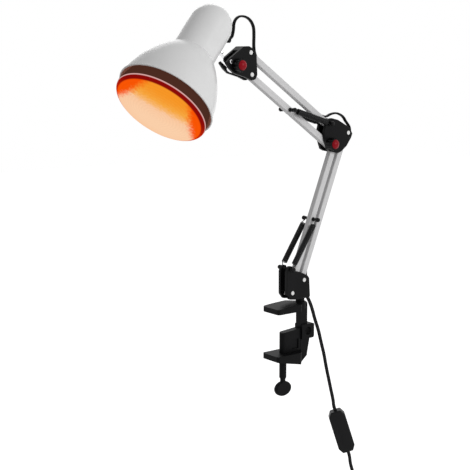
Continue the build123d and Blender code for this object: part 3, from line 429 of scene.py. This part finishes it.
def bulb_glass():
    """Red infrared glass lit from inside: hot centre, orange ends, dark red rim, a painted
    highlight line along the ring and a painted brown glow on the back.
    """
    material, nodes, links, shader = new_material("bulb_red_glass")
    place, along = axial(nodes, links)
    right = dot(nodes, links, place, face_right)
    down = dot(nodes, links, place, face_down)
    combine = nodes.new("ShaderNodeCombineXYZ")
    links.new(right, combine.inputs[0])
    links.new(down, combine.inputs[1])
    flat = combine.outputs["Vector"]
    radius = vector_math(nodes, links, "LENGTH", flat).outputs["Value"]
    streaks = noise(nodes, links, 260.0, 5.0, 0.7)
    wander = arithmetic(nodes, links, "MULTIPLY", streaks, WANDER)
    squeezed = vector_math(nodes, links, "MULTIPLY", flat, HOT_SQUEEZE).outputs["Vector"]
    from_hot = vector_math(nodes, links, "DISTANCE", squeezed, HOT_CENTRE).outputs["Value"]
    far = arithmetic(nodes, links, "ADD", from_hot, wander)
    middle = ramp(nodes, links, span(nodes, links, far, *HOT_SPAN), [
        (0.0, (1.0, 0.66, 0.42)),
        (0.40, (0.99, 0.61, 0.37)),
        (0.56, (0.98, 0.50, 0.17)),
        (0.76, (0.97, 0.41, 0.055)),
        (1.0, (0.96, 0.32, 0.02)),
    ])
    sideways = arithmetic(nodes, links, "ABSOLUTE", right)
    sideways = arithmetic(nodes, links, "ADD", sideways, wander)
    lowered = arithmetic(nodes, links, "MULTIPLY", down, END_SLOPE)
    sideways = arithmetic(nodes, links, "SUBTRACT", sideways, lowered)
    ends = span(nodes, links, sideways, *END_SPAN)
    glow = mix(nodes, links, ends, middle, (0.98, 0.095, 0.001))
    rim = span(nodes, links, radius, *RIM_SPAN)
    low_side = span(nodes, links, down, *LOW_SPAN)
    edge = mix(nodes, links, low_side, (0.25, 0.002, 0.002), (0.62, 0.022, 0.001))
    lit = mix(nodes, links, rim, glow, edge)
    # Painted highlight: a pale pinkish line along the ring's edge, standing in for light caught
    # there.
    highlight_line = span(nodes, links, along, *HIGHLIGHT_LINE_SPAN)
    pale = mix(nodes, links, highlight_line, lit, (0.72, 0.42, 0.40))
    # Painted glow: the silvered back behind the ring emits brown, standing in for the bulb's
    # light seen on it.
    back = span(nodes, links, along, *BACK_SPAN)
    colour = mix(nodes, links, back, pale, PAINTED_GLOW_BROWN)
    body = mix(nodes, links, back, (0.03, 0.002, 0.001), (0.012, 0.004, 0.003))
    links.new(body, shader.inputs["Base Color"])
    links.new(colour, shader.inputs["Emission Color"])
    turns = arithmetic(nodes, links, "MULTIPLY", radius, RING_PITCH)
    rings = arithmetic(nodes, links, "SINE", turns)
    rings = arithmetic(nodes, links, "MULTIPLY", rings, RING_DEPTH)
    veins = arithmetic(nodes, links, "MULTIPLY", noise(nodes, links, 900.0, 5.0, 0.75), 0.16)
    power = arithmetic(nodes, links, "ADD", arithmetic(nodes, links, "ADD", rings, veins), 0.86)
    links.new(power, shader.inputs["Emission Strength"])
    shader.inputs["Specular IOR Level"].default_value = 0.0
    shader.inputs["Roughness"].default_value = 0.16
    ripples = noise(nodes, links, 420.0, 4.0, 0.6)
    bump(nodes, links, shader, ripples, 0.25, 4e-4)
    return material


white_paint = shade_paint()
red_glass = bulb_glass()

finishes = {
    white_paint: ["shade_bell", "neck_cover"],
    tube_paint: ["lower_front_tube", "lower_rear_tube", "upper_bottom_tube", "upper_top_tube"],
    black_moulded: ["clamp_frame", "pressure_block", "clamp_screw", "swivel_pin"],
    bracket_moulded: ["base_bracket", "elbow_bracket", "head_bracket"],
    knob_moulded: ["elbow_knob", "head_knob"],
    red_moulded: ["elbow_knob_cap", "head_knob_cap"],
    switch_moulded: [
        "switch_base", "switch_cover", "switch_rocker", "plug_body", "cord_grommet", "coil_tie"],
    cord_sheath: [
        "head_cord", "upper_cord", "elbow_cord", "lower_cord", "base_cord", "cord_to_switch",
        "cord_below_switch", "cord_coil", "cord_to_plug"],
    rivet_white: ["base_rivets", "elbow_rivets", "head_rivets"],
    chrome: ["head_stem", "shade_knuckle", "knuckle_locking_screw", "head_tip_screws"],
    plated: ["plug_pins", "bulb_cap", "elbow_friction_bolt", "head_friction_bolt"],
    pin_dark: ["base_spring_studs", "elbow_spring_pin", "lower_spring_pin", "upper_spring_pin"],
    spring_dark: [
        "lower_spring_near", "lower_spring_far", "upper_spring_near", "upper_spring_far"],
    holder_ceramic: ["lamp_holder", "holder_ring"],
    red_glass: ["bulb_envelope"],
}
for material, names in finishes.items():
    for name in names:
        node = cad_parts[name]
        node.data.materials.clear()
        node.data.materials.append(material)
unfinished = set(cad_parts) - {name for names in finishes.values() for name in names}
assert not unfinished, unfinished


# Pieces made here -----------------------------------------------------------------------


def skin(name, vertices, sides):
    """Mesh object of closed rings of vertices, one ring after another, with flat ends."""
    count = len(vertices) // sides
    faces = []
    for ring in range(count - 1):
        for side in range(sides):
            after = (side + 1) % sides
            faces.append((
                ring * sides + side, ring * sides + after,
                (ring + 1) * sides + after, (ring + 1) * sides + side))
    faces.append(tuple(reversed(range(sides))))
    faces.append(tuple(range((count - 1) * sides, count * sides)))
    mesh = bpy.data.meshes.new(name)
    mesh.from_pydata([tuple(v) for v in vertices], [], faces)
    mesh.validate()
    mesh.polygons.foreach_set("use_smooth", [len(f.vertices) == 4 for f in mesh.polygons])
    ob = bpy.data.objects.new(name, mesh)
    bpy.context.scene.collection.objects.link(ob)
    return ob


def direction_at(points, index):
    """Direction of a line of points at one of them."""
    ahead = points[min(index + 1, len(points) - 1)]
    behind = points[max(index - 1, 0)]
    return (ahead - behind).normalized()


def tube_mesh(name, points, radius, sides):
    """Round tube along points."""
    vertices = []
    direction = (points[1] - points[0]).normalized()
    normal = direction.orthogonal().normalized()
    for index, point in enumerate(points):
        turned = direction_at(points, index)
        normal = (direction.rotation_difference(turned) @ normal).normalized()
        direction = turned
        across = direction.cross(normal)
        for side in range(sides):
            angle = 2 * math.pi * side / sides
            vertices.append(
                point + (normal * math.cos(angle) + across * math.sin(angle)) * radius)
    return skin(name, vertices, sides)


SPRING_OFFSET = 11.0  # from the arm's plane to a spring's centre line
SPRING_WIRE, SPRING_WINDING = 0.6 * MM, 3.7 * MM  # radii
SPRING_PITCH = 1.28 * MM
HOOK_LENGTH, HOOK_LOOP = 8.5 * MM, 2.35 * MM
HOOK_POINTS = 14
HOOK_SWEEP = 300  # degrees round the pin
HOOK_BENDS = ((0.62, 0.35), (0.88, 0.85))  # shares of the hook's length and the winding's radius


def coil_spring(name, start, end, side, node):
    """Close-wound extension spring with a loop round the pin at each end."""
    offset = Y_AXIS * side * SPRING_OFFSET * MM
    start, end = start + offset, end + offset
    along = (end - start).normalized()
    across = along.cross(Y_AXIS) * side
    length = (end - start).length
    winding, hook = SPRING_WINDING, HOOK_LENGTH
    turns = int((length - 2 * hook) / SPRING_PITCH)
    steps = 12
    points = []
    for k in range(HOOK_POINTS):
        angle = math.radians(HOOK_SWEEP - HOOK_SWEEP * k / (HOOK_POINTS - 1))
        points.append(start + (along * math.cos(angle) + across * math.sin(angle)) * HOOK_LOOP)
    for reach, rise in HOOK_BENDS:
        points.append(start + along * hook * reach + across * winding * rise)
    for k in range(turns * steps + 1):
        angle = 2 * math.pi * k / steps
        reach = hook + (length - 2 * hook) * k / (turns * steps)
        points.append(
            start + along * reach
            + (across * math.cos(angle) + Y_AXIS * math.sin(angle)) * winding)
    for reach, rise in reversed(HOOK_BENDS):
        points.append(end - along * hook * reach + across * winding * rise)
    for k in range(HOOK_POINTS):
        angle = math.radians(HOOK_SWEEP * k / (HOOK_POINTS - 1))
        points.append(end + (-along * math.cos(angle) + across * math.sin(angle)) * HOOK_LOOP)
    ob = tube_mesh(name, points, SPRING_WIRE, 6)
    ob.data.materials.append(spring_dark)
    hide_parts(node)
    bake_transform(ob)


for side, word in ((-1, "near"), (1, "far")):
    coil_spring(f"lower_spring_coils_{word}", base_stud, lower_pin, side,
                f"lower_spring_{word}")
    coil_spring(f"upper_spring_coils_{word}", upper_pin, elbow_top, side,
                f"upper_spring_{word}")


def smooth_line(points):
    """Points along the smooth curve that has the given route as its control points."""
    curve = nurbs("line", points, 0, 0)
    curve.data.bevel_depth = 0
    curve.data.extrude = 0
    bpy.context.view_layer.update()
    mesh = bpy.data.meshes.new_from_object(curve)
    line = [vertex.co.copy() for vertex in mesh.vertices]
    bpy.data.objects.remove(curve)
    return line


def flat_lead(name, line):
    """Stretch of the flat lead in the arm's plane."""
    half_width, half_height = CORD_WIDTH / 2 * MM, CORD_THICKNESS / 2 * MM
    section = []
    for side in (1, -1):
        for k in range(7):
            angle = math.pi * (k / 6 - 0.5)
            section.append((
                side * (half_width - half_height + math.cos(angle) * half_height),
                side * math.sin(angle) * half_height))
    vertices = []
    for index, point in enumerate(line):
        normal = direction_at(line, index).cross(Y_AXIS)
        vertices += [point + Y_AXIS * across + normal * up for across, up in section]
    ob = skin(name, vertices, len(section))
    ob.data.materials.append(cord_sheath)
    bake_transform(ob)
    return ob


def nearest(line, point):
    """Index of the line's point nearest to a place."""
    return min(range(len(line)), key=lambda index: (line[index] - point).length)


SLOT_DEEP = 34.0  # where it lies inside the tube
GROMMET_REACH = 43.6
neck_exit = neck_centre + mm(GROMMET_REACH, 0, 0)
head_line = smooth_line([
    neck_exit - mm(5, 0, 0),
    neck_exit + mm(3.5, 0, 0),
    neck_exit + mm(7.0, 0, 11.5),
    neck_exit + mm(7.4, 0, 22.5),
    neck_exit + mm(14.5, 0, 30.0),
    neck_exit + mm(25.0, 0, 30.6),
    neck_exit + mm(34.6, 0, 26.5),
    neck_exit + mm(41.0, 0, 17.5),
    neck_exit + mm(41.6, 0, 6.0),
    neck_exit + mm(41.0, 0, -9.0),
    beside(head_top, -upper_axis, 12.0, 5.4),
    beside(head_top, -upper_axis, 25.0, 0),
    beside(head_top, -upper_axis, SLOT_DEEP, 0),
])
rise, fall = neck_exit + mm(8.6, 0, 20.0), neck_exit + mm(40.0, 0, 18.5)
first, second = nearest(head_line, rise), nearest(head_line, fall)
head_leads = [
    flat_lead("head_lead_a", head_line[:first + 1]),
    flat_lead("head_lead_b", head_line[first:second + 1]),
    flat_lead("head_lead_c", head_line[second:]),
]
for lead in head_leads:
    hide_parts("head_cord")

elbow_line = smooth_line([
    beside(elbow_top, upper_axis, SLOT_DEEP, 0),
    beside(elbow_top, upper_axis, 25.0, 0),
    beside(elbow_top, upper_axis, 13.0, 4.6),
    beside(elbow_top, upper_axis, 4.5, 7.4),
    elbow_top + mm(8.8, 0, 12.7),
    elbow_top + mm(19.8, 0, 14.1),
    elbow_rear + mm(-8.9, 0, 26.2),
    elbow_rear + mm(-2.5, 0, 22.4),
    elbow_rear + mm(1.6, 0, 16.5),
    elbow_rear + mm(6.4, 0, 11.8),
    elbow_rear + mm(10.3, 0, 6.6),
    elbow_rear + mm(10.6, 0, -0.4),
    beside(elbow_rear, -lower_axis, 8.0, 8.0),
    beside(elbow_rear, -lower_axis, 24.0, 0),
    beside(elbow_rear, -lower_axis, SLOT_DEEP, 0),
])
crest = elbow_rear + mm(-8.9, 0, 25.0)
middle = nearest(elbow_line, crest)
elbow_leads = [
    flat_lead("elbow_lead_a", elbow_line[:middle + 1]),
    flat_lead("elbow_lead_b", elbow_line[middle:]),
]
for lead in elbow_leads:
    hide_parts("elbow_cord")

base_line = smooth_line([
    beside(base_rear, lower_axis, SLOT_DEEP, 0),
    beside(base_rear, lower_axis, 24.0, 0),
    beside(base_rear, lower_axis, 8.0, 8.0),
    mm(7.2, 0, 36.0),
    base_turn,
    cord_exit,
])
bend = nearest(base_line, mm(7.6, 0, 30.0))
base_leads = [
    flat_lead("base_lead_a", base_line[:bend + 1]),
    flat_lead("base_lead_b", base_line[bend:]),
]
for lead in base_leads:
    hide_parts("base_cord")

free_lead = nurbs("free_lead", free_points, CORD_WIDTH, CORD_THICKNESS)
free_lead.data.materials.append(cord_sheath)
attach(free_lead, "clamp")
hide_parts("cord_to_switch", "cord_below_switch", "cord_coil", "cord_to_plug")

# Light and surroundings -----------------------------------------------------------------


def looked_at(nodes, links):
    """1 for rays from the camera, straight, mirrored or through glass, and 0 for the rest."""
    path = nodes.new("ShaderNodeLightPath")
    share = path.outputs["Is Camera Ray"]
    for ray in ("Is Glossy Ray", "Is Transmission Ray"):
        share = arithmetic(nodes, links, "MAXIMUM", share, path.outputs[ray])
    return share


FLOOR_LIFT = 0.75  # brings the lit paper to white for the camera and for reflections
FLOOR_HALF = 6.0
FLOOR_GAP = 0.004  # below the lamp's lowest point
AMBIENT = 0.36
floor_mesh = bpy.data.meshes.new("floor")
size, low = FLOOR_HALF, cad_box[0].z - FLOOR_GAP
floor_mesh.from_pydata(
    [(-size, -size, low), (size, -size, low), (size, size, low), (-size, size, low)],
    [], [(0, 1, 2, 3)])
floor = bpy.data.objects.new("floor", floor_mesh)
bpy.context.scene.collection.objects.link(floor)
floor_material, nodes, links, shader = new_material("floor_paper")
paper = noise(nodes, links, 60.0)
links.new(ramp(nodes, links, paper, [(0.3, grey(0.80)), (0.7, grey(0.83))]),
          shader.inputs["Base Color"])
shader.inputs["Roughness"].default_value = 0.9
lift = arithmetic(nodes, links, "MULTIPLY", looked_at(nodes, links), FLOOR_LIFT)
shader.inputs["Emission Color"].default_value = (1, 1, 1, 1)
links.new(lift, shader.inputs["Emission Strength"])
floor.data.materials.append(floor_material)

world = bpy.data.worlds.new("studio")
bpy.context.scene.world = world
world.use_nodes = True
nodes, links = world.node_tree.nodes, world.node_tree.links
ambient = nodes["Background"]
ambient.inputs["Color"].default_value = (1, 1, 1, 1)
ambient.inputs["Strength"].default_value = AMBIENT
seen = nodes.new("ShaderNodeBackground")
seen.inputs["Color"].default_value = (1, 1, 1, 1)
seen.inputs["Strength"].default_value = 1.0
switcher = nodes.new("ShaderNodeMixShader")
links.new(looked_at(nodes, links), switcher.inputs[0])
links.new(ambient.outputs[0], switcher.inputs[1])
links.new(seen.outputs[0], switcher.inputs[2])
links.new(switcher.outputs[0], nodes["World Output"].inputs["Surface"])


AIM = Vector((-0.08, 0, 0.2))


def lamp(name, place, power, size):
    """Soft square lamp aimed at the arm."""
    light = bpy.data.lights.new(name, "AREA")
    light.energy = power
    light.size = size
    ob = bpy.data.objects.new(name, light)
    ob.location = place
    ob.rotation_euler = (AIM - ob.location).to_track_quat("-Z", "Y").to_euler()
    bpy.context.scene.collection.objects.link(ob)


lamp("key", Vector((0.5, -2.2, 0.9)), 25, 1.2)
lamp("fill", Vector((-2.0, -0.8, 0.6)), 1.2, 1.4)
lamp("back", Vector((1.0, 1.5, 1.2)), 5, 1.2)

bpy.context.scene.view_settings.view_transform = "Standard"
bpy.context.view_layer.update()
